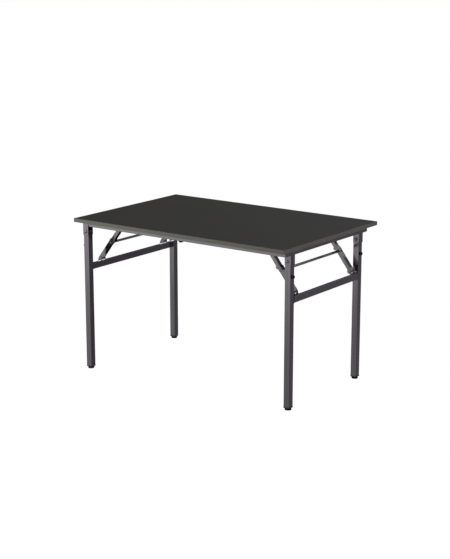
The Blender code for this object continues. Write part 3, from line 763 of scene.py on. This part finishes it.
def detail_screws():
    """Screws that hold the rails and the brace anchors to the panel, at shares of their length."""
    body = BODY_OF["tabletop_panel"]
    for end in ENDS:
        low, high = box_of(f"{end}_rail")
        middle = (low.y + high.y) / 2
        for index, share in enumerate(RAIL_SCREWS):
            place = low.x + share * (high.x - low.x)
            add_screw(f"{end}_rail_screw_{index + 1}", place, middle, low.z - 0.0001, body)
    for side in SIDES:
        low, high = box_of(f"{side}_end_rail")
        middle = (low.x + high.x) / 2
        for index, share in enumerate(END_RAIL_SCREWS):
            place = low.y + share * (high.y - low.y)
            add_screw(f"{side}_end_rail_screw_{index + 1}", middle, place, low.z - 0.0001, body)
        for end in ENDS:
            low, high = box_of(f"{side}_{end}_brace_anchor")
            for index, share in enumerate(ANCHOR_SCREWS):
                place = low.x + share * (high.x - low.x)
                name = f"{side}_{end}_anchor_screw_{index + 1}"
                add_screw(name, place, (low.y + high.y) / 2, high.z - 0.0021, body)


make_camera()

# How far the edges of each kind of CAD piece are rounded over
SOFTENED = {
    "tabletop_panel": 0.0002,
    "leg_bracket": 0.0005,
    "brace_anchor": 0.0005,
    "brace_clevis": 0.0005,
    "upper_link": 0.0003,
    "lower_link": 0.0003,
    "_leg": 0.0003,
    "crossbar": 0.0003,
    "_rail": 0.0003,
    "leg_cap": 0.0004,
}
for name in sorted(NODES):
    for ending, width in SOFTENED.items():
        if name.endswith(ending):
            soften(name, width)
            break
    else:
        NODES[name].data.materials.clear()
        NODES[name].data.materials.append(MATERIALS[SLOT_OF[name]])
for end in ENDS:
    detail_rest_pad(end)
for side in SIDES:
    detail_rod(side)
    for end in ENDS:
        detail_pivot_bolt(side, end)
        detail_rivet(f"{side}_{end}_anchor_rivet")
        detail_rivet(f"{side}_{end}_clevis_rivet")
        detail_elbow(side, end)
        detail_bumper(side, end)
        detail_foot(side, end)
        detail_welds(side, end)
detail_screws()


# Light and floor

WHITE = (1.0, 1.0, 1.0)
FLOOR_REACH = 30.0
FLOOR_DROP = 0.0004

# A lit card in front of the table: its plane, and the strength at its low, high, far and near ends
CARD_Y = -4.0
CARD_LOW, CARD_HIGH = 0.35, 0.80
CARD_FAR, CARD_NEAR = 1.13, 0.91
CARD_COLOR = (1.0, 0.98, 1.0)

# What the coated steel mirrors, toward the left (-X) and the right (+X) of the room
KEY_DIRECTION = Vector((-0.62, -0.77, -0.12)).normalized()
STUDIO_LEFT = (0.050, 0.049, 0.046)
STUDIO_RIGHT = (0.195, 0.180, 0.209)
STUDIO_FAR_RIGHT = (0.112, 0.103, 0.120)
CEILING_LEFT = (0.32, 0.32, 0.31)
CEILING_RIGHT = (1.00, 0.98, 0.99)
FRONT_GLOW = (0.84, 0.82, 0.84)

# What lights every surface evenly
SKY_LEFT = (0.235, 0.232, 0.230)
SKY_RIGHT = (0.252, 0.230, 0.262)
GROUND_LEFT = (0.62, 0.61, 0.60)
GROUND_RIGHT = (0.60, 0.56, 0.62)


def glow(name, color):
    """The start of a material that gives off light and reflects none."""
    n = Nodes(name)
    n.shader.inputs["Base Color"].default_value = (0.0, 0.0, 0.0, 1.0)
    n.shader.inputs["Specular IOR Level"].default_value = 0.0
    n.shader.inputs["Roughness"].default_value = 1.0
    n.shader.inputs["Emission Color"].default_value = (*color, 1.0)
    n.shader.inputs["Emission Strength"].default_value = 1.0
    return n


def add_sheet(name, corners):
    """A flat four-cornered sheet that belongs to the stage."""
    mesh = bpy.data.meshes.new(name)
    mesh.from_pydata(corners, [], [(0, 1, 2, 3)])
    sheet = bpy.data.objects.new(name, mesh)
    bpy.context.scene.collection.objects.link(sheet)
    return sheet


def make_floor():
    """A white floor that the camera sees from above and looks through from below."""
    corners = [(-1, -1), (1, -1), (1, 1), (-1, 1)]
    floor = add_sheet("floor", [(x * FLOOR_REACH, y * FLOOR_REACH, -FLOOR_DROP) for x, y in corners])
    n = glow("floor", WHITE)
    choice = n.node("MixShader")
    n.link(n.node("NewGeometry").outputs["Backfacing"], choice.inputs[0])
    n.link(n.shader.outputs[0], choice.inputs[1])
    n.link(n.node("BsdfTransparent").outputs[0], choice.inputs[2])
    n.link(choice.outputs[0], n.tree.nodes["Material Output"].inputs["Surface"])
    floor.data.materials.append(n.material)
    floor.visible_diffuse = False
    floor.visible_glossy = False


def make_softbox():
    """A tall lit card in front of the table, fading downward, that only reflections show."""
    corners = [(-9.0, -4.0), (2.5, -4.0), (2.5, 1.2), (-9.0, 1.2)]
    card = add_sheet("softbox", [(x, CARD_Y, z) for x, z in corners])
    n = glow("softbox", CARD_COLOR)
    parts = n.node("SeparateXYZ")
    n.link(n.place, parts.inputs[0])
    height = n.spread(parts.outputs["Z"], -1.25, -0.10, CARD_LOW, CARD_HIGH)
    sideways = n.spread(parts.outputs["X"], -4.2, -1.6, CARD_FAR, CARD_NEAR)
    fade = n.spread(parts.outputs["Z"], 0.65, 1.15, 1.0, 0.0)
    strength = n.math("MULTIPLY", n.math("MULTIPLY", height, sideways), fade)
    n.link(strength, n.shader.inputs["Emission Strength"])
    card.data.materials.append(n.material)
    card.visible_camera = False
    card.visible_diffuse = False
    card.visible_shadow = False


def make_room():
    """A white backdrop, an even room for soft light, and a studio for reflections."""
    world = bpy.data.worlds.new("studio")
    bpy.context.scene.world = world
    world.use_nodes = True
    tree = world.node_tree

    def node(kind, **inputs):
        made = tree.nodes.new("ShaderNode" + kind)
        for key, value in inputs.items():
            made.inputs[key.replace("_", " ")].default_value = value
        return made

    def ramp(source, low, high, out_low, out_high):
        made = node("MapRange", From_Min=low, From_Max=high, To_Min=out_low, To_Max=out_high)
        made.interpolation_type = "SMOOTHSTEP"
        tree.links.new(source, made.inputs["Value"])
        return made.outputs["Result"]

    def blend(factor, first, second):
        made = tree.nodes.new("ShaderNodeMix")
        made.data_type = "RGBA"
        tree.links.new(factor, made.inputs["Factor"])
        for socket, value in (("A", first), ("B", second)):
            if isinstance(value, tuple):
                made.inputs[socket].default_value = (*value, 1.0)
            else:
                tree.links.new(value, made.inputs[socket])
        return made.outputs["Result"]

    def product(first, second):
        made = tree.nodes.new("ShaderNodeMath")
        made.operation = "MULTIPLY"
        tree.links.new(first, made.inputs[0])
        tree.links.new(second, made.inputs[1])
        return made.outputs[0]

    coordinates = tree.nodes.new("ShaderNodeTexCoord")
    parts = tree.nodes.new("ShaderNodeSeparateXYZ")
    tree.links.new(coordinates.outputs["Generated"], parts.inputs[0])
    toward_key = tree.nodes.new("ShaderNodeVectorMath")
    toward_key.operation = "DOT_PRODUCT"
    tree.links.new(coordinates.outputs["Generated"], toward_key.inputs[0])
    toward_key.inputs[1].default_value = KEY_DIRECTION
    across = ramp(parts.outputs["X"], -0.68, -0.22, 0.0, 1.0)
    right = blend(ramp(parts.outputs["X"], 0.53, 0.67, 0.0, 1.0), STUDIO_RIGHT, STUDIO_FAR_RIGHT)
    studio = blend(across, STUDIO_LEFT, right)
    ceiling = blend(across, CEILING_LEFT, CEILING_RIGHT)
    studio = blend(ramp(parts.outputs["Z"], 0.33, 0.52, 0.0, 1.0), studio, ceiling)
    front = product(
        ramp(toward_key.outputs["Value"], 0.45, 0.90, 0.0, 1.0),
        ramp(parts.outputs["Z"], -0.36, -0.16, 0.0, 1.0),
    )
    studio = blend(front, studio, FRONT_GLOW)

    path = tree.nodes.new("ShaderNodeLightPath")
    rightward = ramp(parts.outputs["X"], -0.1, 0.8, 0.0, 1.0)
    sky = blend(rightward, SKY_LEFT, SKY_RIGHT)
    ground = blend(rightward, GROUND_LEFT, GROUND_RIGHT)
    lit = blend(ramp(parts.outputs["Z"], -0.30, 0.10, 1.0, 0.0), sky, ground)
    seen = blend(path.outputs["Is Glossy Ray"], lit, studio)
    seen = blend(path.outputs["Is Camera Ray"], seen, WHITE)
    tree.links.new(seen, tree.nodes["Background"].inputs["Color"])


def add_light(name, place, target, width, height, power):
    """A rectangular lamp at a place, turned toward a target."""
    data = bpy.data.lights.new(name, "AREA")
    data.shape = "RECTANGLE"
    data.size = width
    data.size_y = height
    data.energy = power
    lamp = bpy.data.objects.new(name, data)
    lamp.location = place
    lamp.rotation_mode = "QUATERNION"
    lamp.rotation_quaternion = (Vector(target) - Vector(place)).to_track_quat("-Z", "Y")
    bpy.context.scene.collection.objects.link(lamp)
    lamp.visible_camera = False


make_floor()
make_softbox()
make_room()
add_light("key", (-2.2, -2.4, 0.95), (0.0, -0.2, 0.60), 1.2, 0.9, 26.0)
add_light("overhead", (0.9, 0.5, 4.2), (0.1, 0.0, 0.75), 3.0, 3.0, 26.0)
bpy.context.scene.view_settings.view_transform = "Standard"
bpy.context.scene.view_settings.look = "None"
